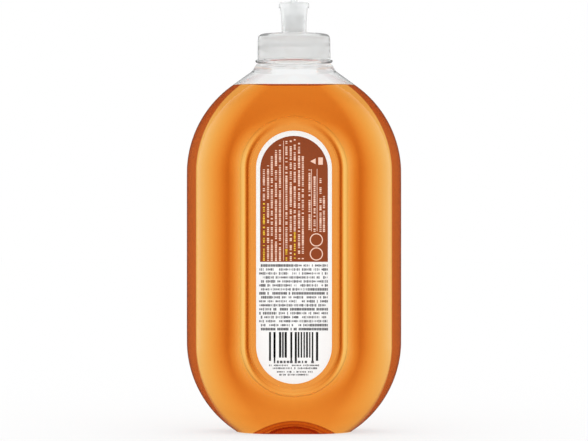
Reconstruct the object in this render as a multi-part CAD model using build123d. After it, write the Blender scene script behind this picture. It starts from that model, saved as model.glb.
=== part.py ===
# Floor cleaner bottle: a flat clear bottle with round ends, its liquid, a label and a push-pull screw cap.
# Millimetres, +Z up, origin in the middle of the base. The label faces -Y.
from build123d import *
import os
from math import atan2, cos, pi, sin, sqrt

# Bottle body
body_width = 120.0
body_depth = 49.0
base_width = 64.0
straight_height = 93.8
shoulder_length = 14.0
wall = 0.7
floor_thickness = 1.0
base_round = 1.2

# Collar, neck and support ring of the bottle
collar_radius = 23.6
collar_flat = 1.1
collar_rise = 4.2
collar_taper = 2.0
collar_round = 1.3
collar_wall = 1.2
finish_radius = 17.3
finish_height = 12.3
neck_wall = 2.1
neck_groove = 0.5
neck_gap = 0.8
ring_radius = 21.6
ring_thickness = 1.1
ring_edge = 0.5
lip_round = 0.5

# Recessed panel on each broad side
crest_land = 0.8
flank_width = 11.1
panel_recess = 10.5
panel_overreach = 2.3
crease_round = 1.0
crest_margin = 0.05

# Hollow under the base
dome_rise = 5.5
dome_end_land = 8.5
dome_side_land = 6.2

# Liquid
headspace = 8.2
liquid_clearance = 0.05

# Label
label_margin = 4.6
label_thickness = 0.12

# Sealing washer between the lip and the cap
seal_thickness = 0.7
seal_overlap = 0.6
seal_clearance = 0.15

# Screw cap
thread_depth = 1.3
thread_clearance = 0.3
cap_wall = 1.5
cap_draft = 0.2
cap_ring_gap = 0.3
cap_edge_round = 2.5
deck_thickness = 1.7
seal_ledge = 0.5
seal_pocket_depth = 0.4

# Hollow post on the cap, its snap bead, and the pin that plugs the spout
post_radius = 4.8
post_wall = 1.2
post_head = 1.0
post_foot_round = 0.6
bead_proud = 0.5
bead_width = 1.0
pin_radius = 2.0
pin_proud = 1.9
pin_tip_round = 0.8
spoke_count = 3
spoke_thickness = 1.0
spoke_height = 3.5

# Push-pull spout
spout_height = 17.5
spout_wall = 1.5
spout_flare = 0.9
spout_foot_height = 3.5
spout_bead_height = 2.6
spout_roof = 1.8
spout_rest_gap = 0.3
lip_overhang = 0.6
lip_height = 2.8
lip_edge_round = 0.7
pull_travel = 5.0
slide_clearance = 0.12
stop_gap = 0.2
orifice_clearance = 0.15

# One overrun for every cut
overrun = 5.0

# Steps of the body's loft along each round end, its straight sides and its shoulder
end_steps = 9
side_steps = 6
shoulder_steps = 3

# Worked out from the values above
end_radius = body_width / 2
lower_centre = sqrt(end_radius**2 - (base_width / 2) ** 2)
upper_centre = lower_centre + straight_height
collar_height = upper_centre + sqrt(end_radius**2 + shoulder_length**2 - collar_radius**2)
shoulder_angle = atan2(collar_radius, collar_height - upper_centre) + atan2(shoulder_length, end_radius)
nose_length = collar_radius - collar_flat
crest_radius = end_radius - nose_length - crest_land
panel_radius = crest_radius - flank_width
panel_half_depth = body_depth / 2 - panel_recess
panel_centres = (lower_centre - panel_overreach, upper_centre + panel_overreach)
fill_height = collar_height - headspace

collar_top = collar_height + collar_rise
ring_bottom = collar_top + neck_gap
ring_top = ring_bottom + ring_thickness
bottle_top = ring_top + finish_height
neck_bore = finish_radius - neck_wall

cap_bore = finish_radius + thread_depth + thread_clearance
cap_radius = cap_bore + cap_wall
cap_bottom = ring_top + cap_ring_gap
seal_pocket_radius = cap_bore - seal_ledge
deck_bottom = bottle_top + seal_thickness
deck_top = deck_bottom + deck_thickness

spout_bottom = deck_top + spout_rest_gap
spout_top = spout_bottom + spout_height
spout_bore = post_radius + bead_proud + slide_clearance
spout_radius = spout_bore + spout_wall
spout_bead_bottom = spout_bottom + spout_bead_height
post_bead_bottom = spout_bead_bottom + bead_width + pull_travel + stop_gap
post_top = post_bead_bottom + bead_width + post_head
post_bore = post_radius - post_wall
pin_top = spout_top + pin_proud


def side_reach(height, inset):
    """Half width of the body at a height: round ends, straight sides and a shoulder tangent to the upper end."""
    radius = end_radius - inset
    tangent_height = upper_centre + radius * cos(shoulder_angle)
    if height > tangent_height:
        return (radius - (height - upper_centre) * cos(shoulder_angle)) / sin(shoulder_angle)
    off_centre = min(height - lower_centre, 0) + max(height - upper_centre, 0)
    return sqrt(radius**2 - off_centre**2)


def depth_reach(height, inset):
    """Half depth of the body at a height: rounded in towards the base and drawn in to the collar."""
    half_depth = body_depth / 2 - inset
    lower_crest = lower_centre - end_radius + nose_length
    upper_crest = upper_centre + end_radius - nose_length
    if height < lower_crest:
        return half_depth * sqrt(1 - ((lower_crest - height) / (nose_length - inset)) ** 2)
    drawn_in = max(height - upper_crest, 0) / (collar_height - upper_crest)
    return half_depth - (half_depth - collar_radius + inset) * drawn_in**2


def oval(height, half_width, half_depth, flat):
    """Level oval with a flat front and back, reaching flat to each side, and elliptical ends."""
    nose = half_width - flat
    outline = [
        EllipticalCenterArc((flat, 0), nose, half_depth, -90, arc_size=180),
        Line((flat, half_depth), (-flat, half_depth)),
        EllipticalCenterArc((-flat, 0), nose, half_depth, 90, arc_size=180),
        Line((-flat, -half_depth), (flat, -half_depth)),
    ]
    return Pos(0, 0, height) * make_face(outline)


def body_section(height, inset):
    """Oval across the body at a height."""
    half_width = side_reach(height, inset)
    return oval(height, half_width, depth_reach(height, inset), half_width - nose_length + inset)


def body_heights(bottom, inset):
    """Heights of the loft's sections, closer together where straight sides meet the round ends."""
    radius = end_radius - inset
    base_angle = atan2(lower_centre - bottom, sqrt(radius**2 - (lower_centre - bottom) ** 2))
    tangent_angle = pi / 2 - shoulder_angle
    tangent_height = upper_centre + radius * sin(tangent_angle)
    shoulder_rise = collar_height - tangent_height
    heights = [lower_centre - radius * sin(base_angle * (1 - i / end_steps)) for i in range(end_steps)]
    heights += [lower_centre + straight_height * (1 - cos(pi * i / side_steps)) / 2 for i in range(side_steps)]
    heights += [upper_centre + radius * sin(tangent_angle * i / end_steps) for i in range(end_steps)]
    heights += [tangent_height + shoulder_rise * i / shoulder_steps for i in range(shoulder_steps + 1)]
    return heights


def panel_tool(inset):
    """Oblong hollow of the front panel: a flat floor with flanks that rise along an ellipse to the crest."""
    floor = panel_half_depth - inset
    crest = body_depth / 2 - inset + crest_margin
    flank_share = sqrt(1 - (panel_half_depth / (body_depth / 2)) ** 2)
    flank = flank_width / flank_share - inset
    ceiling = crest + overrun
    block = Pos(crest_radius / 2, -(floor + ceiling) / 2) * Rectangle(crest_radius, ceiling - floor)
    profile = block - Pos(crest_radius, 0) * Ellipse(flank, crest)
    crease = profile.vertices().group_by(Axis.Y)[-1].sort_by(Axis.X)[-1]
    profile = fillet(crease, crease_round + inset)
    low, high = panel_centres
    upper_end = revolve(Pos(0, 0, high) * profile, Axis((0, 0, high), (0, -1, 0)), 180)
    lower_end = revolve(Pos(0, 0, low) * profile, Axis((0, 0, low), (0, 1, 0)), 180)
    right_side = extrude(Pos(0, 0, low) * profile, high - low)
    return upper_end + lower_end + right_side + mirror(right_side, Plane.YZ)


def dome(grow):
    """Oval dome under the base, larger all round by grow."""
    half_length = base_width / 2 - dome_end_land + grow
    half_width = depth_reach(0, 0) - dome_side_land + grow
    rise = dome_rise + grow
    radius = (half_length**2 + rise**2) / (2 * rise)
    ball = Pos(0, 0, rise - radius) * Sphere(radius)
    cap = ball & Pos(0, 0, radius) * Box(2 * radius, 2 * radius, 2 * radius)
    return scale(cap, by=(1, half_width / half_length, 1), about=(0, 0, 0))


def body_form(bottom, inset, dome_grow):
    """The body as a solid, drawn in by inset: the outside of the wall, its inside, or the liquid."""
    form = loft([body_section(height, inset) for height in body_heights(bottom, inset)])
    if bottom == 0:
        form = fillet(form.edges().group_by(Axis.Z)[0], base_round)
    panel = panel_tool(inset)
    return form - panel - mirror(panel, Plane.XZ) - dome(dome_grow)


def collar_form(inset, thickness):
    """Step from the shoulder up to the neck, drawn in by inset at its foot and by thickness at its top."""
    radius = collar_radius - collar_taper - thickness
    top = oval(collar_top - thickness, radius, radius, collar_flat)
    form = loft([body_section(collar_height, inset), top], ruled=True)
    return fillet(form.edges().group_by(Axis.Z)[-1], collar_round)


def turned(points, rounds=()):
    """Solid of revolution about Z from (radius, height) points, with rounds as (point index, radius)."""
    outline = Plane.XZ * make_face(Polyline(*points, close=True))
    corners = [(Plane.XZ * Vertex(*points[index]), radius) for index, radius in rounds]
    for corner, radius in corners:
        nearest = outline.vertices().sort_by_distance(corner)[0]
        outline = fillet(nearest, radius)
    return revolve(outline, Axis.Z)


def make_bottle():
    """One blown piece: body, collar, support ring and plain neck, hollow throughout."""
    groove_radius = finish_radius - neck_groove
    neck = turned(
        [
            (0, collar_top),
            (groove_radius, collar_top),
            (groove_radius, ring_bottom),
            (ring_radius - ring_edge, ring_bottom),
            (ring_radius, ring_top - ring_edge),
            (ring_radius, ring_top),
            (finish_radius, ring_top),
            (finish_radius, bottle_top),
            (0, bottle_top),
        ],
        rounds=[(7, lip_round)],
    )
    outside = body_form(0, 0, 0) + collar_form(0, 0) + neck
    inside = body_form(floor_thickness, wall, floor_thickness) + collar_form(wall, collar_wall)
    bore_length = bottle_top - collar_top + collar_wall + overrun
    bore = Pos(0, 0, bottle_top + overrun - bore_length / 2) * Cylinder(neck_bore, bore_length)
    return outside - inside - bore


def make_liquid():
    """The filling, up to the fill height."""
    inset = wall + liquid_clearance
    bottom = floor_thickness + liquid_clearance
    above = Pos(0, 0, fill_height + body_width / 2) * Box(body_width, body_width, body_width)
    return body_form(bottom, inset, bottom) - above


def make_label():
    """Oblong film on the front panel."""
    low, high = panel_centres
    radius = panel_radius - label_margin
    outline = Rotation(0, 0, 90) * SlotCenterToCenter(high - low, 2 * radius)
    face = Plane.XZ.offset(panel_half_depth) * Pos(0, (low + high) / 2) * outline
    return extrude(face, label_thickness)


def make_seal():
    """Flat washer on the lip of the neck."""
    outer = seal_pocket_radius - seal_clearance
    inner = neck_bore - seal_overlap
    return turned([(inner, bottle_top), (outer, bottle_top), (outer, deck_bottom), (inner, deck_bottom)])


def make_cap():
    """Screw cap with a hollow post, and a pin held in the post by spokes."""
    bead_top = post_bead_bottom + bead_width
    pocket_bottom = deck_bottom - seal_pocket_depth
    shell = turned(
        [
            (cap_bore, cap_bottom),
            (cap_radius, cap_bottom),
            (cap_radius - cap_draft, deck_top),
            (post_radius, deck_top),
            (post_radius, post_bead_bottom),
            (post_radius + bead_proud, post_bead_bottom + bead_width / 2),
            (post_radius + bead_proud, bead_top),
            (post_radius, post_top),
            (post_bore, post_top),
            (post_bore, deck_bottom),
            (seal_pocket_radius, deck_bottom),
            (seal_pocket_radius, pocket_bottom),
            (cap_bore, pocket_bottom),
        ],
        rounds=[(2, cap_edge_round), (3, post_foot_round)],
    )
    pin_bottom = post_top - spoke_height
    pin = turned(
        [(0, pin_bottom), (pin_radius, pin_bottom), (pin_radius, pin_top), (0, pin_top)],
        rounds=[(2, pin_tip_round)],
    )
    reach = (post_bore + post_radius) / 2
    spoke = Pos(reach / 2, 0, pin_bottom + spoke_height / 2) * Box(reach, spoke_thickness, spoke_height)
    spokes = [Rotation(0, 0, 360 * i / spoke_count) * spoke for i in range(spoke_count)]
    return shell + pin + spokes


def make_spout():
    """Flared sleeve that slides on the post, with a bead at its foot and an opening in its roof."""
    foot = (spout_radius, spout_bottom)
    waist = (spout_radius, spout_bottom + spout_foot_height)
    flare = (spout_radius + spout_flare, spout_top - lip_height)
    lip_radius = spout_radius + spout_flare + lip_overhang
    orifice = pin_radius + orifice_clearance
    bead_radius = post_radius + slide_clearance
    bead_top = spout_bead_bottom + bead_width
    roof_bottom = spout_top - spout_roof
    inside = [
        (lip_radius, spout_top - lip_height),
        (lip_radius, spout_top),
        (orifice, spout_top),
        (orifice, roof_bottom),
        (spout_bore, roof_bottom),
        (spout_bore, bead_top),
        (bead_radius, bead_top),
        (bead_radius, spout_bead_bottom + bead_width / 2),
        (spout_bore, spout_bead_bottom),
        (spout_bore, spout_bottom),
    ]
    outline = [
        Line(foot, waist),
        TangentArc(waist, flare, tangent=(0, 1)),
        Polyline(flare, *inside, foot),
    ]
    face = Plane.XZ * make_face(outline)
    lip_edge = Plane.XZ * Vertex(lip_radius, spout_top)
    face = fillet(face.vertices().sort_by_distance(lip_edge)[0], lip_edge_round)
    return revolve(face, Axis.Z)


os.makedirs("parts", exist_ok=True)
pieces = {
    "bottle": make_bottle(),
    "liquid": make_liquid(),
    "label": make_label(),
    "seal_washer": make_seal(),
    "screw_cap": make_cap(),
    "push_pull_spout": make_spout(),
}
for name, piece in pieces.items():
    export_step(piece, f"parts/{name}.step")
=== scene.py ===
import math

import bmesh
import bpy
import numpy as np
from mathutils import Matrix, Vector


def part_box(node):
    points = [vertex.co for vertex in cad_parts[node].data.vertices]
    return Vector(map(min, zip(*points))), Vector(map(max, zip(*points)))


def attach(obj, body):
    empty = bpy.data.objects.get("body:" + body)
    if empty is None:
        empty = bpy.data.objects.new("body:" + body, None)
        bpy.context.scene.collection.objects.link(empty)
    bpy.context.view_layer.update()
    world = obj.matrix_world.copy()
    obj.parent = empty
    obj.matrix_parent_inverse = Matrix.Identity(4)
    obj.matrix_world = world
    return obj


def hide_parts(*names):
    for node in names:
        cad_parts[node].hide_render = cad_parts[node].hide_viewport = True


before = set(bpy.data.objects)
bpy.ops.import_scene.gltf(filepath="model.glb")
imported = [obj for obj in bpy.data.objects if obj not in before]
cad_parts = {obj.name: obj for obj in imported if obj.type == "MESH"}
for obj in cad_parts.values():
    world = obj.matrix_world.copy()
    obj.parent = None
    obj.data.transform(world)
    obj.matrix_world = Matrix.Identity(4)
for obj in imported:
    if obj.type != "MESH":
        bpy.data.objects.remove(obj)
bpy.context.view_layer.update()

# Sizes in metres. The frame gives the heights, and the rest repeat the part's own.
lip_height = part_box("bottle")[1].z
fill_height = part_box("liquid")[1].z
label_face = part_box("label")[0].y

# Bottle body
body_width = 0.120
body_depth = 0.049
base_width = 0.064
straight_height = 0.0938
shoulder_length = 0.014
wall = 0.0007
floor_thickness = 0.001
base_round = 0.0004

# Collar, neck and support ring
collar_radius = 0.0236
collar_flat = 0.0011
collar_rise = 0.0042
collar_taper = 0.002
collar_round = 0.0013
collar_wall = 0.0012
finish_radius = 0.0173
neck_wall = 0.0021
neck_groove = 0.0005
neck_gap = 0.0008
ring_radius = 0.0216
ring_thickness = 0.0011
ring_edge = 0.0005
lip_round = 0.0005

# Recessed panels
crest_land = 0.0008
flank_width = 0.0111
panel_recess = 0.0105
panel_overreach = 0.0023
crease_softness = 0.0014
crease_spread = 0.002

# Hollow under the base
dome_rise = 0.0055
dome_end_land = 0.0085
dome_side_land = 0.0062

# Liquid: how far it reaches into the wall, and its meniscus
wetting = 0.00025
meniscus_rise = 0.0011
meniscus_width = 0.0030

# How deep the liquid's colour is painted, as shares of its look along the crest: partly its thickness, partly
# painted shade along the crest and painted light down the flanks and noses
thin_tone = 0.15
flat_tone = 0.62
base_tone = 0.2
nose_fade = 3.0
base_fade_share = 0.25
flank_fade = 2.15
flank_curve = 1.7
lower_flank_share = 0.3
upper_flank_share = 0.15
lower_fade = 0.45
upper_fade = 0.28
# Painted shade in the crease: how dark, where it lies across the flank, and how wide
crease_painted_shade = 1.1
crease_place = 0.928
crease_width = 0.077

# How closely the painted light down the flank and the painted shade in the crease keep to the panel's long
# sides
flank_focus = 4
crease_focus = 2

# Painted shade as a darker band along the side edges: where it starts, and how sharply, along the sides and
# at the base
band_start = 0.72
side_sharpness = 40.0
base_sharpness = 5.0

# The liquid's colour at full painted depth for red, green and blue: share left, how fast it goes, and where
# it stops. The red falls fast, as painted shade along the crest
depth_and_shade_look = ((0.54, 2.2, 1.2), (0.146, 1.0, 9.0), (0.0204, 0.85, 9.0))
# Colour of the painted shade band along the side edges
painted_band_colour = (0.365, 0.057, 0.0225, 1.0)

# Painted refraction and shade of the hollow base, drawn as nested zones on the front of the liquid, from the
# outside in
hollow_heights = (0.0080, 0.0072, 0.0062, 0.0052)
hollow_half_widths = (0.0240, 0.0226, 0.0195, 0.0180)
painted_hollow_colours = (
    (0.24, 0.015, 0.0008, 1.0),
    (0.42, 0.050, 0.0030, 1.0),
    (0.24, 0.012, 0.0008, 1.0),
    (0.45, 0.080, 0.0080, 1.0),
)
hollow_edge = 0.0006

# Share of light that goes straight on through collar and neck, and the zone of the crease that is clear
collar_clearness = 0.56
neck_clearness = 0.8
clear_flank = 0.0020
clear_reach = 0.0036
clear_falloff = 6

# Screw thread between neck and cap
cap_bore = 0.0189
thread_pitch = 0.00423
thread_turns = 1.5
thread_base = 0.0018
thread_crest = 0.0008
thread_root = 0.00005
neck_thread_depth = 0.0010
cap_thread_depth = 0.0009
neck_thread_rise = 0.0026

# Worked out from the values above
end_radius = body_width / 2
half_depth = body_depth / 2
lower_centre = math.sqrt(end_radius**2 - (base_width / 2) ** 2)
upper_centre = lower_centre + straight_height
collar_height = upper_centre + math.sqrt(end_radius**2 + shoulder_length**2 - collar_radius**2)
shoulder_angle = math.atan2(collar_radius, collar_height - upper_centre)
shoulder_angle += math.atan2(shoulder_length, end_radius)
nose_length = collar_radius - collar_flat
crest_radius = end_radius - nose_length - crest_land
panel_radius = crest_radius - flank_width
panel_half_depth = half_depth - panel_recess
panel_low = lower_centre - panel_overreach
panel_high = upper_centre + panel_overreach
lower_crest = lower_centre - end_radius + nose_length
upper_crest = upper_centre + end_radius - nose_length
collar_top = collar_height + collar_rise
ring_bottom = collar_top + neck_gap
ring_top = ring_bottom + ring_thickness

# Steps of the body's skin: along half the base line, each round end, the sides and half the top line
base_steps = 14
end_steps = 34
side_steps = 14
top_steps = 22

# Steps of the body's skin from a panel's flat outwards: across the crease, up the flank and down the nose
crease_steps = 15
flank_steps = 12
nose_steps = 28

# Steps of a round edge, of a circle and of a turn of thread, and halvings in the search for the outline
edge_steps = 5
circle_steps = 48
thread_steps = 64
halvings = 60

# Rows across the standing land, up the hollow of the base and across the meniscus, as shares of the way
land_shares = (0.04, 0.12, 0.5, 1.0)
hollow_shares = (0.92, 0.8, 0.65, 0.5, 0.35, 0.2, 0.08)
meniscus_shares = (0.1, 0.25, 0.5, 0.75, 1.0)
meniscus_curve = 3

# Edges that turn by more than this stay sharp
sharp_angle = math.radians(38)


def side_reach(height, inset):
    """Half width of the body at each height: round ends, straight sides and a shoulder."""
    radius = end_radius - inset
    off_centre = np.minimum(height - lower_centre, 0) + np.maximum(height - upper_centre, 0)
    round_reach = np.sqrt(np.maximum(radius**2 - off_centre**2, 0))
    shoulder = (radius - (height - upper_centre) * math.cos(shoulder_angle)) / math.sin(shoulder_angle)
    tangent_height = upper_centre + radius * math.cos(shoulder_angle)
    return np.where(height > tangent_height, shoulder, round_reach)


def depth_reach(height, inset):
    """Half depth of the body at each height: rounded in towards the base, drawn in to the collar."""
    half = half_depth - inset
    below = np.clip((lower_crest - height) / (nose_length - inset), 0, 1)
    above = np.maximum(height - upper_crest, 0) / (collar_height - upper_crest)
    return half * np.sqrt(1 - below**2) - (half - collar_radius + inset) * above**2


def nose_share(x, height, inset):
    """How far each point of the front view lies down the rounded side: 0 at its start, 1 at the side edge."""
    nose = nose_length - inset
    flat = side_reach(height, inset) - nose
    return np.clip((np.abs(x) - flat) / nose, 0, 1)


def body_reach(x, height, inset):
    """Half depth of the body without its panels at each point of the front view."""
    return depth_reach(height, inset) * np.sqrt(1 - nose_share(x, height, inset) ** 2)


def panel_reach(radius, inset):
    """Half depth of a recessed panel at a distance from its middle line: flat, then an elliptical flank."""
    floor = panel_half_depth - inset
    crest = half_depth - inset
    flank_share = math.sqrt(1 - (panel_half_depth / half_depth) ** 2)
    flank = flank_width / flank_share - inset
    rise = np.clip((crest_radius - radius) / flank, 0, 1)
    slope = crest * np.sqrt(1 - rise**2)
    return (floor + slope + np.sqrt((floor - slope) ** 2 + crease_softness**2)) / 2


def end_tone(height):
    """Painted depth of colour along the crest, partly the liquid's thickness and partly painted shade: most
    along the straight sides, less round the ends.
    """
    below = np.maximum(lower_centre - height, 0) / end_radius
    above = np.maximum(height - upper_centre, 0) / end_radius
    return 1 - lower_fade * below - upper_fade * above


def base_share(height):
    """How far each height lies from the straight sides down to the base, 0 to 1."""
    return np.clip((lower_centre - height) / lower_centre, 0, 1)


def nose_tone(x, height):
    """Painted depth of colour down the rounded side, partly thinner liquid and partly painted light: less
    towards the edge, but not so near the base.
    """
    fade = nose_fade * (1 - (1 - base_fade_share) * base_share(height))
    return end_tone(height) * np.exp(-fade * nose_share(x, height, 0))


def side_band(x, height):
    """Share of the painted shade band along the side edges, before it is kept between 0 and 1."""
    below = base_share(height)
    sharpness = side_sharpness * (base_sharpness / side_sharpness) ** below
    return (nose_share(x, height, 0) - band_start) * sharpness


def panel_tone(radius, height, aside):
    """Painted depth of colour from the crest into a panel, partly thickness: less down the flank, with
    painted light from the sides, then dark in the crease as painted shade.
    """
    share = (crest_radius - radius) / flank_width
    end_share = np.where(height < upper_centre, lower_flank_share, upper_flank_share)
    fade = flank_fade * (end_share + (1 - end_share) * aside**flank_focus)
    flank = end_tone(height) * np.exp(-fade * min(share, 1) ** flank_curve)
    crease = crease_painted_shade * aside**crease_focus * math.exp(-(((share - crease_place) / crease_width) ** 2))
    return (flank if share < crease_place else np.full_like(height, flat_tone)) + crease


class Skin:
    """Points and faces of one mesh, gathered loop by loop."""

    def __init__(self):
        self.points = []
        self.tones = []
        self.bands = []
        self.clear = []
        self.faces = []
        self.wet = []

    def mark(self, wet):
        """Says of the faces added since the last mark whether liquid lies against plastic there."""
        self.wet.extend([float(wet)] * (len(self.faces) - len(self.wet)))

    def loop(self, points, tones=None, bands=None, clear=0.0):
        """Adds a row of points, with the looks there, and gives their numbers."""
        first = len(self.points)
        self.points.extend(tuple(float(c) for c in p) for p in points)
        count = len(self.points) - first
        self.tones.extend([thin_tone] * count if tones is None else tones)
        self.bands.extend([0.0] * count if bands is None else bands)
        self.clear.extend([clear] * count)
        return list(range(first, len(self.points)))

    def strip(self, a, b, closed=True):
        """Quads between two rows of the same length; a point that both rows share makes a triangle."""
        count = len(a)
        for i in range(count if closed else count - 1):
            j = (i + 1) % count
            corners = []
            for corner in (a[i], a[j], b[j], b[i]):
                if corner not in corners:
                    corners.append(corner)
            if len(corners) > 2:
                self.faces.append(corners)

    def ladder(self, loop):
        """Fills a loop that is the same left and right with rungs across, from its first point."""
        half = len(loop) // 2
        right = loop[:half + 1]
        left = [loop[0]] + loop[:half - 1:-1]
        self.strip(right, left, closed=False)

    def piece(self, name, material):
        """The finished object: closed, facing outwards, smooth but for its sharp edges."""
        data = bpy.data.meshes.new(name)
        data.from_pydata(self.points, [], self.faces)
        self.mark(False)
        for title, values in (("tone", self.tones), ("band", self.bands), ("clear", self.clear)):
            data.attributes.new(title, "FLOAT", "POINT").data.foreach_set("value", values)
        data.attributes.new("wet", "FLOAT", "FACE").data.foreach_set("value", self.wet)
        form = bmesh.new()
        form.from_mesh(data)
        bmesh.ops.recalc_face_normals(form, faces=form.faces)
        if form.calc_volume(signed=True) < 0:
            bmesh.ops.reverse_faces(form, faces=form.faces)
        for face in form.faces:
            face.smooth = True
        for edge in form.edges:
            edge.smooth = len(edge.link_faces) == 2 and edge.calc_face_angle(0) < sharp_angle
        form.to_mesh(data)
        form.free()
        data.materials.append(material)
        piece = bpy.data.objects.new(name, data)
        bpy.context.scene.collection.objects.link(piece)
        return piece


def half_rays(inset, bottom, top):
    """Middle point and direction of each ray from a panel's middle line to the outline, from base to top."""
    def corner_angles(height, centre, steps):
        nose = nose_length - inset
        flat = float(side_reach(np.array(height), inset)) - nose
        turns = [math.pi / 2 * i / steps for i in range(steps + 1)]
        across = [flat + nose * math.sin(t) if t else 0 for t in turns]
        return [math.atan2(height - centre, x) for x in across]

    base = corner_angles(bottom, panel_low, base_steps)
    crown = corner_angles(top, panel_high, top_steps)
    rays = [(panel_low, angle) for angle in base[:-1]]
    rays += [(panel_low, base[-1] * (1 - i / end_steps)) for i in range(end_steps)]
    rays += [(panel_low + (panel_high - panel_low) * i / side_steps, 0) for i in range(side_steps)]
    rays += [(panel_high, crown[-1] * i / end_steps) for i in range(end_steps)]
    rays += [(panel_high, angle) for angle in reversed(crown)]
    return rays


def outline_distance(x, z, dx, dz, inset, bottom, top):
    """How far each ray goes from a point to the outline of the body."""
    near = np.zeros_like(x)
    far = np.full_like(x, 2 * end_radius)
    for _ in range(halvings):
        middle = (near + far) / 2
        px = np.abs(x + dx * middle)
        pz = z + dz * middle
        inside = (pz >= bottom) & (pz <= top) & (px <= side_reach(pz, inset))
        near = np.where(inside, middle, near)
        far = np.where(inside, far, middle)
    return near


def body_rows(inset, bottom, top):
    """Rows of points (x, half depth, z, tone, band, clear) from the flat of a panel out to the outline."""
    rays = half_rays(inset, bottom, top)
    centre = np.array([r[0] for r in rays] + [r[0] for r in rays[-2:0:-1]])
    angle = np.array([r[1] for r in rays] + [math.pi - r[1] for r in rays[-2:0:-1]])
    dx = np.cos(angle)
    dz = np.sin(angle)
    dx[0] = dx[len(rays) - 1] = 0
    crease_start = panel_radius - crease_spread
    crease_end = panel_radius + crease_spread
    turn = np.linspace(0, math.pi / 2, flank_steps + 1)[1:]
    radii = [panel_radius / 2, crease_start - crease_spread]
    radii += list(np.linspace(crease_start, crease_end, crease_steps))
    radii += list(crease_end + (crest_radius - crease_end) * np.sin(turn))
    rows = []
    for radius in radii:
        x = dx * radius
        z = centre + dz * radius
        depth = np.minimum(panel_reach(radius, inset), body_reach(x, z, inset))
        clear = math.exp(-(((radius - panel_radius - clear_flank) / clear_reach) ** clear_falloff))
        rows.append((x, depth, z, panel_tone(radius, z, dx), np.zeros_like(x), clear))
    x, _, z = rows[-1][:3]
    reach = outline_distance(x, z, dx, dz, inset, bottom, top)
    for share in np.sin(np.linspace(0, math.pi / 2, nose_steps + 1)[1:]):
        px = x + dx * reach * share
        pz = z + dz * reach * share
        rows.append((px, body_reach(px, pz, inset), pz, nose_tone(px, pz), side_band(px, pz), 0.0))
    return rows


def body_skin(skin, inset, bottom, top):
    """Front and back of the body with their panels. Gives the base loop and the top loop."""
    rows = body_rows(inset, bottom, top)
    ex, ey, ez, tones, bands, _ = rows[-1]
    count = len(ex)
    crown = count // 2 - top_steps
    sides = set(range(base_steps, crown + 1)) | set(range(count - crown, count - base_steps + 1))
    for i in sides:
        ey[i] = 0
    front = [skin.loop(zip(x, -y, z), *looks) for x, y, z, *looks in rows]
    back = [skin.loop(zip(x, y, z), *looks) for x, y, z, *looks in rows[:-1]]
    edge = list(front[-1])
    for i in range(count):
        if i not in sides:
            edge[i] = skin.loop([(ex[i], ey[i], ez[i])], [tones[i]], [bands[i]])[0]
    back.append(edge)
    for sheet in (front, back):
        for a, b in zip(sheet, sheet[1:]):
            skin.strip(a, b)
        skin.ladder(sheet[0])
    base = list(range(count - base_steps, count)) + list(range(base_steps + 1))
    crest = list(range(crown, count - crown + 1))
    loops = []
    for numbers in (base, crest):
        loops.append([front[-1][i] for i in numbers] + [edge[i] for i in numbers[-2:0:-1]])
    return loops


def base_skin(skin, loop, height, grow):
    """Standing land and hollow of the base, inwards from a loop of the body."""
    edge = np.array([skin.points[i] for i in loop])[:, :2]
    half_length = base_width / 2 - dome_end_land + grow
    half_width = float(depth_reach(np.array(0.0), 0)) - dome_side_land + grow
    rise = dome_rise + grow
    turn = np.arctan2(edge[:, 1] / half_width, edge[:, 0] / half_length)
    rim = np.stack([half_length * np.cos(turn), half_width * np.sin(turn)], axis=1)
    radius = (half_length**2 + rise**2) / (2 * rise)
    rim_share = math.sqrt(1 - height / rise)
    tones = [base_tone] * len(loop)
    rows = [loop]
    for share in land_shares:
        land = edge + (rim * rim_share - edge) * share
        rows.append(skin.loop(((x, y, height) for x, y in land), tones))
    for share in hollow_shares:
        reach = rim_share * share
        level = rise - radius + math.sqrt(radius**2 - (reach * half_length) ** 2)
        rows.append(skin.loop(((x, y, level) for x, y in rim * reach), tones, clear=1.0))
    for a, b in zip(rows, rows[1:]):
        skin.strip(a, b)
    skin.faces.append(rows[-1])


def arc(centre_r, centre_z, radius, start, end, steps=edge_steps):
    """Points of a round edge in (radius, height), from one angle to another in degrees."""
    angles = [math.radians(start + (end - start) * i / steps) for i in range(steps + 1)]
    return [(centre_r + radius * math.cos(a), centre_z + radius * math.sin(a)) for a in angles]


def neck_profile():
    """Collar, groove, support ring, neck and lip, then down the bore, as (radius, height) points."""
    top_radius = collar_radius - collar_taper
    inner_radius = top_radius - collar_wall
    inner_top = collar_top - collar_wall
    groove = finish_radius - neck_groove
    bore = finish_radius - neck_wall
    lean = math.degrees(math.atan2(collar_taper, collar_rise))
    points = arc(top_radius - collar_round, collar_top - collar_round, collar_round, lean, 90)
    points += [(groove, collar_top), (groove, ring_bottom), (ring_radius - ring_edge, ring_bottom)]
    points += [(ring_radius, ring_top - ring_edge), (ring_radius, ring_top), (finish_radius, ring_top)]
    points += arc(finish_radius - lip_round, lip_height - lip_round, lip_round, 0, 90)
    points += [(bore, lip_height), (bore, inner_top)]
    points += arc(inner_radius - collar_round, inner_top - collar_round, collar_round, 90, lean)
    return points


def make_bottle(material):
    """Clear bottle: an outer and an inner skin joined over the lip."""
    skin = Skin()
    outer_base, outer_top = body_skin(skin, 0, base_round, collar_height)
    base_skin(skin, outer_base, 0, 0)
    skin.mark(False)
    inner_base, inner_top = body_skin(skin, wall, floor_thickness, collar_height)
    base_skin(skin, inner_base, floor_thickness, floor_thickness)
    skin.mark(True)
    rim = np.array([skin.points[i] for i in outer_top])
    turn = np.arctan2(rim[:, 1], rim[:, 0])
    rows = [outer_top]
    for radius, height in neck_profile():
        rows.append(skin.loop((radius * math.cos(t), radius * math.sin(t), height) for t in turn))
    rows.append(inner_top)
    for a, b in zip(rows, rows[1:]):
        skin.strip(a, b)
    return skin.piece("bottle_shell", material)


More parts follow.
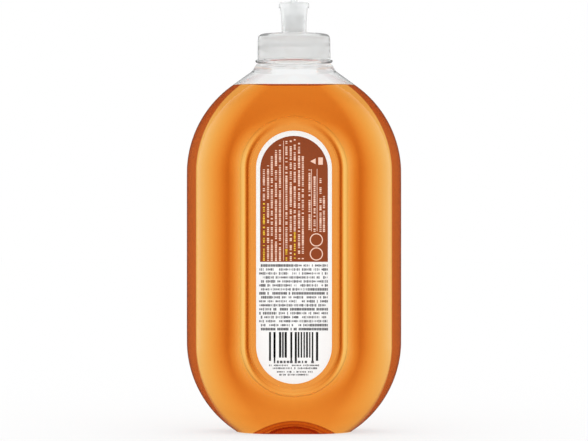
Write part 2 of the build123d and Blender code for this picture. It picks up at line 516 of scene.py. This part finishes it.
def make_liquid(material):
    """The filling: wets the wall, with a small meniscus round its level."""
    skin = Skin()
    bottom = floor_thickness - wetting
    brim = fill_height
    base, rim = body_skin(skin, wall - wetting, bottom, brim)
    base_skin(skin, base, bottom, bottom)
    skin.mark(True)
    edge = np.array([skin.points[i] for i in rim])[:, :2]
    inwards = meniscus_width / edge.max(axis=0)
    rows = [rim]
    for share in meniscus_shares:
        level = brim - meniscus_rise * (1 - (1 - share) ** meniscus_curve)
        rows.append(skin.loop((x, y, level) for x, y in edge * (1 - inwards * share)))
    for a, b in zip(rows, rows[1:]):
        skin.strip(a, b)
    skin.faces.append(rows[-1])
    return skin.piece("liquid_fill", material)


class Value:
    """A node's output that takes part in sums."""

    def __init__(self, tree, socket):
        self.tree = tree
        self.socket = socket

    def op(self, operation, *values):
        """One sum of the values given."""
        return self.tree.add("ShaderNodeMath", {"operation": operation}, dict(enumerate(values)))["Value"]

    def __add__(self, other):
        return self.op("ADD", self, other)

    def __sub__(self, other):
        return self.op("SUBTRACT", self, other)

    def __rsub__(self, other):
        return self.op("SUBTRACT", other, self)

    def __mul__(self, other):
        return self.op("MULTIPLY", self, other)

    def __pow__(self, other):
        return self.op("POWER", self, other)

    def __rpow__(self, other):
        return self.op("POWER", other, self)

    def __neg__(self):
        return 0.0 - self

    def __abs__(self):
        return self.op("ABSOLUTE", self)

    def __gt__(self, other):
        return self.op("GREATER_THAN", self, other)

    def __lt__(self, other):
        return self.op("LESS_THAN", self, other)

    def at_least(self, other):
        """The value, or the other where that is more."""
        return self.op("MAXIMUM", self, other)

    def at_most(self, other):
        """The value, or the other where that is less."""
        return self.op("MINIMUM", self, other)

    def clamped(self):
        """The value kept between 0 and 1."""
        return self.at_least(0).at_most(1)

    __radd__ = __add__
    __rmul__ = __mul__


class Tree:
    """A node tree that is built by adding nodes with their settings and inputs."""

    def __init__(self, nodes):
        self.nodes = nodes
        nodes.nodes.clear()

    def add(self, kind, settings=None, inputs=None):
        """One node. Gives its outputs by name."""
        node = self.nodes.nodes.new(kind)
        for name, value in (settings or {}).items():
            setattr(node, name, value)
        shown = [socket for socket in node.inputs if socket.enabled]
        sockets = {socket.name: socket for socket in reversed(shown)}
        sockets.update(enumerate(shown))
        for name, value in (inputs or {}).items():
            if isinstance(value, Value):
                self.nodes.links.new(value.socket, sockets[name])
            else:
                sockets[name].default_value = value
        return {output.name: Value(self, output) for output in reversed(node.outputs) if output.enabled}


# How the clear plastics and the liquid bend light, and how the liquid takes it up through its depth
plastic_ior = 1.42
frosted_ior = 1.17
liquid_ior = 1.34
straight_ior = 1.0
depth_colour = (0.982, 0.719, 0.0175, 1.0)
depth_density = 28.5

# Colours of the finishes as they are seen, 0 to 255
wall_colour = (254, 255, 255)
# Painted shade: the wall between the liquid's level and the collar is drawn a little greyer
shoulder_shade_colour = (251, 252, 252)
frosted_colour = (254, 255, 255)
foam_colours = ((232, 232, 230), (245, 245, 243))
film_colours = ((246, 246, 245), (251, 251, 250))

# Roughness of the finishes: least, and what their grain adds
wall_roughness = (0.01, 0.01)
frosted_roughness = (0.06, 0.06)
film_roughness = (0.35, 0.1)
ink_roughness = (0.38, 0.1)
foam_roughness = 0.7

# Grain of the finishes, as scales of noise, and the relief that it gives
grain_detail = 2.0
wall_grain = 40.0
wall_waves = 25.0
frosted_grain = 900.0
foam_cells = 3000.0
film_grain = 1500.0
ink_cover = 2500.0
wall_relief = {"Strength": 0.02, "Distance": 0.001}
frosted_relief = {"Strength": 0.08, "Distance": 0.0002}
foam_relief = {"Strength": 0.2, "Distance": 0.0002}
film_relief = {"Strength": 0.05, "Distance": 0.0001}
ink_relief = {"Strength": 0.03, "Distance": 0.0001}

# Light through the frosted plastic, shine of the inks, and how dark an ink is where it lies thick
frosted_transmission = 0.7
ink_shine = 0.2
ink_deep_share = 0.92


def linear(colour):
    """A colour as it is seen, 0 to 255, for a shader."""
    parts = [c / 255 for c in colour]
    return [p / 12.92 if p < 0.04045 else ((p + 0.055) / 1.055) ** 2.4 for p in parts] + [1.0]


def new_material(name):
    """An empty material and its tree."""
    material = bpy.data.materials.new(name)
    material.use_nodes = True
    return material, Tree(material.node_tree)


def attribute(tree, name):
    """A value that the piece's mesh carries."""
    return tree.add("ShaderNodeAttribute", {"attribute_name": name})["Fac"]


def place(tree):
    """Each point's place on the object, as X, Y and Z."""
    return tree.add("ShaderNodeSeparateXYZ", {}, {"Vector": tree.add("ShaderNodeTexCoord")["Object"]})


def noise(tree, scale, detail=grain_detail):
    """Noise over the piece, in its own coordinates."""
    where = tree.add("ShaderNodeTexCoord")["Object"]
    return tree.add("ShaderNodeTexNoise", {}, {"Vector": where, "Scale": scale, "Detail": detail})["Fac"]


def bump(tree, height, relief):
    """Surface relief from a height."""
    return tree.add("ShaderNodeBump", {}, relief | {"Height": height})["Normal"]


def roughness(limits, grain):
    """Roughness from its least value and what the grain adds."""
    least, more = limits
    return least + more * grain


def blend(tree, factor, first, second):
    """A colour between two others."""
    inputs = {"Factor": factor, "A": first, "B": second}
    return tree.add("ShaderNodeMix", {"data_type": "RGBA"}, inputs)["Result"]


def surface(tree, inputs):
    """A principled surface on the tree's output."""
    shader = tree.add("ShaderNodeBsdfPrincipled", {}, inputs)["BSDF"]
    tree.add("ShaderNodeOutputMaterial", {}, {"Surface": shader})


def wettable(tree, share, inputs, ior):
    """A clear, glossy surface. For a share, as where liquid wets it, light goes straight on through it."""
    clear = inputs | {"Transmission Weight": 1.0}
    dry = tree.add("ShaderNodeBsdfPrincipled", {}, clear | {"IOR": ior})["BSDF"]
    wet = tree.add("ShaderNodeBsdfPrincipled", {}, clear | {"IOR": straight_ior})["BSDF"]
    return tree.add("ShaderNodeMixShader", {}, {0: share, 1: dry, 2: wet})["Shader"]


def clear_plastic():
    """Blown clear plastic: glossy, with a slow waviness in the wall, and a painted shade above the liquid."""
    material, tree = new_material("clear_plastic")
    height = place(tree)["Z"]
    wet = attribute(tree, "wet") * (height < fill_height)
    collar = (height > collar_height) * (height < ring_bottom)
    thick = collar * collar_clearness + (height > ring_top) * neck_clearness
    # Painted shade above the liquid, below the collar
    shoulder = (height > fill_height) * (height < collar_height)
    straight = (wet + thick + attribute(tree, "clear")).clamped()
    shader = wettable(tree, straight, {
        "Base Color": blend(tree, shoulder, linear(wall_colour), linear(shoulder_shade_colour)),
        "Roughness": roughness(wall_roughness, noise(tree, wall_grain)),
        "Normal": bump(tree, noise(tree, wall_waves, detail=0.0), wall_relief),
    }, plastic_ior)
    tree.add("ShaderNodeOutputMaterial", {}, {"Surface": shader})
    return material


def amber_liquid():
    """Clear amber liquid, coloured through its depth, and on its skin by painted depth: painted shade and
    light on crest, flanks and crease, a painted shade band along the edges, and the hollow base painted on
    its front.
    """
    material, tree = new_material("amber_liquid")
    tone = (attribute(tree, "tone") - thin_tone).at_least(0.0)
    shades = {
        name: share ** tone.at_most(most) ** power
        for name, (share, power, most) in zip(("Red", "Green", "Blue"), depth_and_shade_look)
    }
    colour = tree.add("ShaderNodeCombineColor", {}, shades)["Color"]
    # Painted shade: a darker band along the side edges
    colour = blend(tree, attribute(tree, "band").clamped(), colour, painted_band_colour)
    # Painted refraction and shade of the hollow base, as nested zones on the front skin only
    spot = place(tree)
    front = spot["Y"] < 0.0
    for top, half, look in zip(hollow_heights, hollow_half_widths, painted_hollow_colours):
        over = top - top / half**2 * spot["X"] * spot["X"] - spot["Z"]
        colour = blend(tree, (over * (1 / hollow_edge)).clamped() * front, colour, look)
    shader = wettable(tree, attribute(tree, "wet"), {"Base Color": colour, "Roughness": 0.0}, liquid_ior)
    uptake = {"Color": depth_colour, "Density": depth_density}
    depth = tree.add("ShaderNodeVolumeAbsorption", {}, uptake)["Volume"]
    tree.add("ShaderNodeOutputMaterial", {}, {"Surface": shader, "Volume": depth})
    return material


def frosted_plastic():
    """Milky moulded plastic that lets light through."""
    material, tree = new_material("frosted_plastic")
    grain = noise(tree, frosted_grain)
    surface(tree, {
        "Base Color": linear(frosted_colour),
        "Roughness": roughness(frosted_roughness, grain),
        "Transmission Weight": frosted_transmission,
        "IOR": frosted_ior,
        "Normal": bump(tree, grain, frosted_relief),
    })
    return material


def seal_foam():
    """Fine closed foam."""
    material, tree = new_material("seal_foam")
    cells = noise(tree, foam_cells)
    surface(tree, {
        "Base Color": blend(tree, cells, *map(linear, foam_colours)),
        "Roughness": foam_roughness,
        "Normal": bump(tree, cells, foam_relief),
    })
    return material


def label_film():
    """White film with a satin coat."""
    material, tree = new_material("label_film")
    grain = noise(tree, film_grain)
    surface(tree, {
        "Base Color": blend(tree, grain, *map(linear, film_colours)),
        "Roughness": roughness(film_roughness, grain),
        "Normal": bump(tree, grain, film_relief),
    })
    return material


def ink(name, colour):
    """A printed ink, slightly uneven in its cover."""
    material, tree = new_material(name)
    cover = noise(tree, ink_cover)
    thin = linear(colour)
    thick = [c * ink_deep_share for c in thin[:3]] + [1.0]
    surface(tree, {
        "Base Color": blend(tree, cover, thin, thick),
        "Roughness": roughness(ink_roughness, cover),
        "Specular IOR Level": ink_shine,
        "Normal": bump(tree, cover, ink_relief),
    })
    return material


def node_group(name, inputs):
    """A geometry node group with named inputs. Gives it with its tree and the inputs by name."""
    group = bpy.data.node_groups.new(name, "GeometryNodeTree")
    group.interface.new_socket("Geometry", in_out="OUTPUT", socket_type="NodeSocketGeometry")
    for title, kind in inputs.items():
        group.interface.new_socket(title, in_out="INPUT", socket_type="NodeSocket" + kind)
    tree = Tree(group)
    return group, tree, tree.add("NodeGroupInput")


def vector(tree, x, y, z):
    """A vector from three values."""
    return tree.add("ShaderNodeCombineXYZ", {}, {"X": x, "Y": y, "Z": z})["Vector"]


def chance(tree, low, high, seed):
    """A random value for each point."""
    inputs = {"Min": low, "Max": high, "Seed": seed}
    return tree.add("FunctionNodeRandomValue", {"data_type": "FLOAT"}, inputs)["Value"]


def close_group(tree, geometry, material):
    """Ends a group with plain, coloured geometry."""
    plain = tree.add("GeometryNodeRealizeInstances", {}, {"Geometry": geometry})["Geometry"]
    coloured = tree.add("GeometryNodeSetMaterial", {}, {"Geometry": plain, "Material": material})["Geometry"]
    tree.add("NodeGroupOutput", {}, {"Geometry": coloured})


def print_group():
    """Blocks of random width along each edge of a mesh, with gaps, in place of print."""
    group, tree, given = node_group("print_rows", {
        "Lines": "Geometry", "Pitch": "Float", "Height": "Float", "Thickness": "Float",
        "Gap Share": "Float", "Narrowest": "Float", "Lowest": "Float", "Seed": "Int", "Material": "Material",
    })
    lines = tree.add("GeometryNodeMeshToCurve", {}, {"Mesh": given["Lines"]})["Curve"]
    steps = tree.add("GeometryNodeCurveToPoints", {"mode": "LENGTH"}, {
        "Curve": lines, "Length": given["Pitch"],
    })
    gaps = tree.add("FunctionNodeRandomValue", {"data_type": "BOOLEAN"}, {
        "Probability": given["Gap Share"], "Seed": given["Seed"],
    })["Value"]
    kept = tree.add("GeometryNodeDeleteGeometry", {}, {
        "Geometry": steps["Points"], "Selection": gaps,
    })["Geometry"]
    size = vector(tree, given["Pitch"], given["Thickness"], given["Height"])
    block = tree.add("GeometryNodeMeshCube", {}, {"Size": size})["Mesh"]
    turn = tree.add("FunctionNodeAlignRotationToVector", {"axis": "X"}, {
        "Vector": steps["Tangent"],
    })["Rotation"]
    width = chance(tree, given["Narrowest"], widest_share, given["Seed"] + 1)
    height = chance(tree, given["Lowest"], 1.0, given["Seed"] + 2)
    placed = tree.add("GeometryNodeInstanceOnPoints", {}, {
        "Points": kept, "Instance": block, "Rotation": turn, "Scale": vector(tree, width, 1.0, height),
    })["Instances"]
    close_group(tree, placed, given["Material"])
    return group


def thread_group():
    """A screw thread: a tapering profile swept up a spiral, outwards or, with a depth below zero, inwards."""
    group, tree, given = node_group("screw_thread", {
        "Radius": "Float", "Depth": "Float", "Root Width": "Float", "Crest Width": "Float",
        "Pitch": "Float", "Turns": "Float", "Start": "Float", "Material": "Material",
    })
    spiral = tree.add("GeometryNodeCurveSpiral", {}, {
        "Resolution": thread_steps, "Rotations": given["Turns"], "Start Radius": given["Radius"],
        "End Radius": given["Radius"], "Height": given["Pitch"] * given["Turns"], "Reverse": True,
    })["Curve"]
    upright = tree.add("GeometryNodeSetCurveNormal", {"mode": "Z_UP"}, {"Curve": spiral})["Curve"]
    out = given["Depth"] * 0.5
    root = given["Root Width"] * 0.5
    crest = given["Crest Width"] * 0.5
    corners = [(-out, -root), (out, -crest), (out, crest), (-out, root)]
    points = {f"Point {i}": vector(tree, x, y, 0.0) for i, (x, y) in enumerate(corners, 1)}
    profile = tree.add("GeometryNodeCurvePrimitiveQuadrilateral", {"mode": "POINTS"}, points)["Curve"]
    ridge = tree.add("GeometryNodeCurveToMesh", {}, {
        "Curve": upright, "Profile Curve": profile, "Fill Caps": True,
    })["Mesh"]
    inward = given["Depth"] < 0.0
    outward = tree.add("GeometryNodeFlipFaces", {}, {"Mesh": ridge, "Selection": inward})["Mesh"]
    raised = tree.add("GeometryNodeTransform", {}, {
        "Geometry": outward, "Translation": vector(tree, 0.0, 0.0, given["Start"]),
    })["Geometry"]
    close_group(tree, raised, given["Material"])
    return group


def grown(name, group, settings, source=None):
    """A piece with a plain mesh, made by a node group from its inputs."""
    piece = bpy.data.objects.new(name, source or bpy.data.meshes.new(name))
    bpy.context.scene.collection.objects.link(piece)
    modifier = piece.modifiers.new(group.name, "NODES")
    modifier.node_group = group
    for item in group.interface.items_tree:
        if item.in_out == "INPUT" and item.name in settings:
            modifier[item.identifier] = settings[item.name]
    graph = bpy.context.evaluated_depsgraph_get()
    plain = bpy.data.meshes.new_from_object(piece.evaluated_get(graph), depsgraph=graph)
    piece.modifiers.clear()
    piece.data = plain
    return piece


def add_piece(piece, body, node=None):
    """Hands a finished piece to the frame, in the place of a node if one is named."""
    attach(piece, body)
    if node:
        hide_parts(node)


# Print on the label. x runs across and z up, from the middle of the base.
ink_thickness = 0.00002
field_half_width = 0.0188
field_bottom = 0.0951
field_top = 0.1650
rule_width = 0.0003
widest_share = 0.95

# Inks, 0 to 255
pale_colour = (250, 210, 188)
brown_colour = (149, 69, 29)
gold_colour = (250, 206, 60)
grey_colour = (102, 100, 104)
dark_colour = (94, 92, 95)
black_colour = (26, 26, 28)

# Kinds of print: pitch and height of the blocks, share of gaps, least width and height as shares, and seed
plain_print = {"Gap Share": 0.16, "Narrowest": 0.35, "Lowest": 0.6}
column_size = {"Pitch": 0.0010, "Height": 0.0012}
row_size = {"Pitch": 0.0009, "Height": 0.0015}
mark_size = {"Pitch": 0.0017, "Height": 0.0015}
foot_size = {"Pitch": 0.0009, "Height": 0.0011}
column_print = column_size | {"Gap Share": 0.18, "Narrowest": 0.4, "Lowest": 0.85, "Seed": 3}
gold_print = column_size | plain_print | {"Seed": 5}
row_print = row_size | plain_print | {"Seed": 7}
bold_print = row_size | {"Gap Share": 0.1, "Narrowest": 0.7, "Lowest": 0.9, "Seed": 11}
stripe_print = {"Pitch": 0.0014, "Gap Share": 0.1, "Narrowest": 0.35, "Lowest": 1.0}
mark_print = mark_size | {"Gap Share": 0.1, "Narrowest": 0.4, "Lowest": 0.8, "Seed": 23}
foot_print = foot_size | plain_print | {"Seed": 17}
stripe_seed = 13
long_stripe_seed = 19

# Columns of print that run up the field: place across, bottom and top
column_bottom = 0.0959
side_bottom = 0.1121
pale_columns = [
    (-0.0167, 0.1295, 0.1472),
    (-0.0144, column_bottom, 0.1524),
    (-0.0123, column_bottom, 0.1533),
    (-0.0100, column_bottom, 0.1568),
    (-0.0078, column_bottom, 0.1598),
    (-0.0042, 0.1029, 0.1618),
    (-0.0018, column_bottom, 0.1620),
    (0.0004, 0.1123, 0.1628),
    (0.0028, column_bottom, 0.1607),
    (0.0049, column_bottom, 0.1533),
    (0.0086, side_bottom, 0.1461),
    (0.0114, side_bottom, 0.1420),
    (0.0147, side_bottom, 0.1422),
    (0.0166, side_bottom, 0.1313),
]
gold_columns = [(-0.0167, 0.0961, 0.1283), (-0.0042, 0.0961, 0.1017), (0.0004, 0.0972, 0.1111)]
rules = [(-0.0058, column_bottom, 0.1623), (0.0097, side_bottom, 0.1466), (0.0128, side_bottom, 0.1466)]
ring_middles = [(0.0124, 0.1073), (0.0124, 0.0995)]
ring_outer = 0.00365
ring_inner = 0.0031
wedge_corners = [(0.0090, 0.1509), (0.0120, 0.1493), (0.0120, 0.1525)]
block_corners = [(0.0135, 0.1490), (0.0160, 0.1490), (0.0160, 0.1530), (0.0135, 0.1530)]

# Rows of print under the field, from the first down, with the parts that are bolder
row_count = 17
row_top = 0.0931
row_bottom = 0.0578
row_left = -0.0189
row_right = 0.0184
bold_parts = {
    0: (row_left, -0.0007),
    6: (0.0079, row_right),
    7: (row_left, row_right),
    8: (row_left, -0.0128),
    11: (-0.0111, row_right),
    12: (row_left, -0.0109),
    15: (0.0090, row_right),
    16: (row_left, row_right),
}
stripe_left = -0.0133
stripe_right = 0.0128
stripe_bottom = 0.0420
stripe_top = 0.0562
long_stripe_bottom = 0.0402
long_stripe_width = 0.0025
mark_row = 0.0396
foot_rows = [(0.0377, 0.0136), (0.0361, 0.0125), (0.0341, 0.0100), (0.0325, 0.0077)]


def add_print(name, group, lines, kind, material, layer=0):
    """Lines of print of one kind, each from one point of the label to another."""
    source = bpy.data.meshes.new(name)
    level = label_face - (layer + 0.5) * ink_thickness
    points = [(x, level, z) for line in lines for x, z in line]
    source.from_pydata(points, [(2 * i, 2 * i + 1) for i in range(len(lines))], [])
    settings = kind | {"Thickness": ink_thickness, "Material": material}
    add_piece(grown(name, group, settings, source), "bottle")


def add_films(name, shapes, material, layer=0):
    """Printed shapes as thin closed films. Each shape is one loop, or an outer and an inner loop."""
    skin = Skin()
    level = label_face - layer * ink_thickness
    for loops in shapes:
        backs = [skin.loop((x, level, z) for x, z in loop) for loop in loops]
        fronts = [skin.loop((x, level - ink_thickness, z) for x, z in loop) for loop in loops]
        for back, front in zip(backs, fronts):
            skin.strip(back, front)
        for side in (backs, fronts):
            if len(side) == 1:
                skin.faces.append(side[0])
            else:
                skin.strip(*side)
    add_piece(skin.piece(name, material), "bottle")


def circle(x, z, radius):
    """Points of a circle on the label."""
    return arc(x, z, radius, 0, 360 - 360 / circle_steps, circle_steps - 1)


def rule_corners(x, low, high, width):
    """Corners of an upright line on the label."""
    left = x - width / 2
    right = x + width / 2
    return [(left, low), (right, low), (right, high), (left, high)]


def print_field(group):
    """The upper field of colour with its rings, marks and columns of print."""
    round_top = arc(0, field_top - field_half_width, field_half_width, 0, 180, circle_steps)
    field = [(-field_half_width, field_bottom), (field_half_width, field_bottom)] + round_top
    pale = ink("pale_ink", pale_colour)
    add_films("print_field", [[field]], ink("brown_ink", brown_colour))
    marks = [[circle(x, z, ring_outer), circle(x, z, ring_inner)] for x, z in ring_middles]
    marks += [[rule_corners(*rule, rule_width)] for rule in rules]
    marks += [[corners] for corners in (wedge_corners, block_corners)]
    add_films("print_marks", marks, pale, 1)
    for name, columns, kind, material in (
        ("print_columns", pale_columns, column_print, pale),
        ("print_gold", gold_columns, gold_print, ink("gold_ink", gold_colour)),
    ):
        lines = [((x, low), (x, high)) for x, low, high in columns]
        add_print(name, group, lines, kind, material, 1)


def print_rows(group, dark):
    """The rows under the field, some of them bolder in part."""
    plain = []
    bold = []
    for number in range(row_count):
        z = row_top + (row_bottom - row_top) * number / (row_count - 1)
        start, end = bold_parts.get(number, (row_right, row_right))
        for lines, left, right in ((plain, row_left, start), (bold, start, end), (plain, end, row_right)):
            if left < right:
                lines.append(((left, z), (right, z)))
    add_print("print_rows", group, plain, row_print, ink("grey_ink", grey_colour))
    add_print("print_bold_rows", group, bold, bold_print, dark)


def print_stripes(group, dark):
    """Upright stripes, longer at both ends and in the middle, with marks between the longer ones."""
    black = ink("black_ink", black_colour)
    centre = (stripe_left + stripe_right) / 2
    guards = [stripe_left, centre - long_stripe_width / 2, stripe_right - long_stripe_width]
    long_parts = [(a, a + long_stripe_width) for a in guards]
    short_parts = [(a + long_stripe_width, b) for a, b in zip(guards, guards[1:])]
    for name, bottom, seed, parts in (
        ("print_stripes", stripe_bottom, stripe_seed, short_parts),
        ("print_long_stripes", long_stripe_bottom, long_stripe_seed, long_parts),
    ):
        middle = (bottom + stripe_top) / 2
        lines = [((left, middle), (right, middle)) for left, right in parts]
        add_print(name, group, lines, stripe_print | {"Height": stripe_top - bottom, "Seed": seed}, black)
    marks = [((left, mark_row), (right, mark_row)) for left, right in short_parts]
    add_print("print_row_marks", group, marks, mark_print, dark)


def print_label():
    """The label's print as a field of colour, rings, rows of plain blocks and stripes."""
    group = print_group()
    dark = ink("dark_ink", dark_colour)
    print_field(group)
    print_rows(group, dark)
    print_stripes(group, dark)
    foot = [((-reach, z), (reach, z)) for z, reach in foot_rows]
    add_print("print_foot", group, foot, foot_print, dark)


def cut_threads(plastic, frosted):
    """Matching screw threads on the neck and in the cap."""
    group = thread_group()
    start = ring_top + neck_thread_rise
    shared = {
        "Root Width": thread_base, "Crest Width": thread_crest, "Pitch": thread_pitch, "Turns": thread_turns,
    }
    neck_middle = finish_radius + (neck_thread_depth - thread_root) / 2
    cap_middle = cap_bore - (cap_thread_depth - thread_root) / 2
    add_piece(grown("neck_thread", group, shared | {
        "Radius": neck_middle, "Depth": neck_thread_depth + thread_root, "Start": start, "Material": plastic,
    }), "bottle")
    add_piece(grown("cap_thread", group, shared | {
        "Radius": cap_middle, "Depth": -cap_thread_depth - thread_root, "Start": start + thread_pitch / 2,
        "Material": frosted,
    }), "cap")


# Soft white room, as it is seen in reflections: softboxes at the sides, dark towards the camera
light_level = 1.3
room_level = 0.05
softbox_start = math.radians(45)
softbox_end = math.radians(97)
softbox_level = 1.5
softbox_rise = 2.0
floor_shade = 0.3
floor_glow = 1 - floor_shade * light_level
# Painted shade on the floor as reflections see it: darker within this distance of the bottle
floor_painted_shade_reach = 0.6
floor_size = 6.0
white = (1.0, 1.0, 1.0, 1.0)
bounces = 32

# Camera: how far off, how wide it sees there, and how high it stands
view_distance = 1.466
view_width = 0.3293
eye_height = 0.11805


def room_light(tree, way, share=1.0):
    """How bright the room looks in and through the bottle, and whether a ray comes that way."""
    parts = tree.add("ShaderNodeSeparateXYZ", {}, {"Vector": way})
    azimuth = parts["X"].op("ARCTAN2", abs(parts["X"]), -parts["Y"])
    reach = ((azimuth - softbox_start) * (1 / (softbox_end - softbox_start))).clamped()
    front = room_level + softbox_level * reach ** softbox_rise * (azimuth < softbox_end) * share
    path = tree.add("ShaderNodeLightPath")
    passed = path["Is Transmission Ray"]
    return front + passed * (1 - front), (path["Is Glossy Ray"] + passed).clamped()


def stage_floor():
    """Plain pale floor that keeps the shadow, white to the camera and through the bottle, with a painted
    shade near the bottle in reflections.
    """
    far = floor_size
    data = bpy.data.meshes.new("floor")
    corners = [(-far, -far, 0), (far, -far, 0), (far, far, 0), (-far, far, 0)]
    data.from_pydata(corners, [], [range(len(corners))])
    floor = bpy.data.objects.new("floor", data)
    bpy.context.scene.collection.objects.link(floor)
    material, tree = new_material("pale_floor")
    where = tree.add("ShaderNodeTexCoord")["Object"]
    distance = tree.add("ShaderNodeVectorMath", {"operation": "LENGTH"}, {"Vector": where})["Value"]
    grey = (floor_shade, floor_shade, floor_shade, 1.0)
    matt = tree.add("ShaderNodeBsdfDiffuse", {}, {"Color": grey})["BSDF"]
    glow = tree.add("ShaderNodeEmission", {}, {"Color": white, "Strength": floor_glow})["Emission"]
    pale = tree.add("ShaderNodeAddShader", {}, {0: matt, 1: glow})["Shader"]
    # Painted shade: in reflections the floor goes dark near the bottle
    light, shown = room_light(tree, where, (distance * (1 / floor_painted_shade_reach)).clamped())
    room = tree.add("ShaderNodeEmission", {}, {"Color": white, "Strength": light})["Emission"]
    both = tree.add("ShaderNodeMixShader", {}, {0: shown, 1: pale, 2: room})["Shader"]
    tree.add("ShaderNodeOutputMaterial", {}, {"Surface": both})
    data.materials.append(material)


def studio():
    """Soft white surroundings, and the camera at the height of the bottle's middle."""
    scene = bpy.context.scene
    scene.view_settings.view_transform = "Standard"
    scene.cycles.max_bounces = bounces
    scene.cycles.transmission_bounces = bounces
    world = bpy.data.worlds.new("studio")
    world.use_nodes = True
    scene.world = world
    tree = Tree(world.node_tree)
    seen = tree.add("ShaderNodeLightPath")["Is Camera Ray"]
    light, shown = room_light(tree, tree.add("ShaderNodeTexCoord")["Generated"])
    level = light_level + seen * (1 - light_level) + shown * (light - light_level)
    sky = tree.add("ShaderNodeBackground", {}, {"Color": white, "Strength": level})["Background"]
    tree.add("ShaderNodeOutputWorld", {}, {"Surface": sky})

    camera = bpy.data.objects.new("camera", bpy.data.cameras.new("camera"))
    camera.data.lens = camera.data.sensor_width * view_distance / view_width
    camera.location = (0, -view_distance, eye_height)
    camera.rotation_euler = (math.pi / 2, 0, 0)
    scene.collection.objects.link(camera)
    scene.camera = camera


plastic = clear_plastic()
frosted = frosted_plastic()
add_piece(make_bottle(plastic), "bottle", "bottle")
add_piece(make_liquid(amber_liquid()), "bottle", "liquid")
cut_threads(plastic, frosted)
print_label()

finishes = {
    "label": label_film(),
    "seal_washer": seal_foam(),
    "screw_cap": frosted,
    "push_pull_spout": frosted,
}
for node, material in finishes.items():
    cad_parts[node].data.materials.clear()
    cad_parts[node].data.materials.append(material)

stage_floor()
studio()
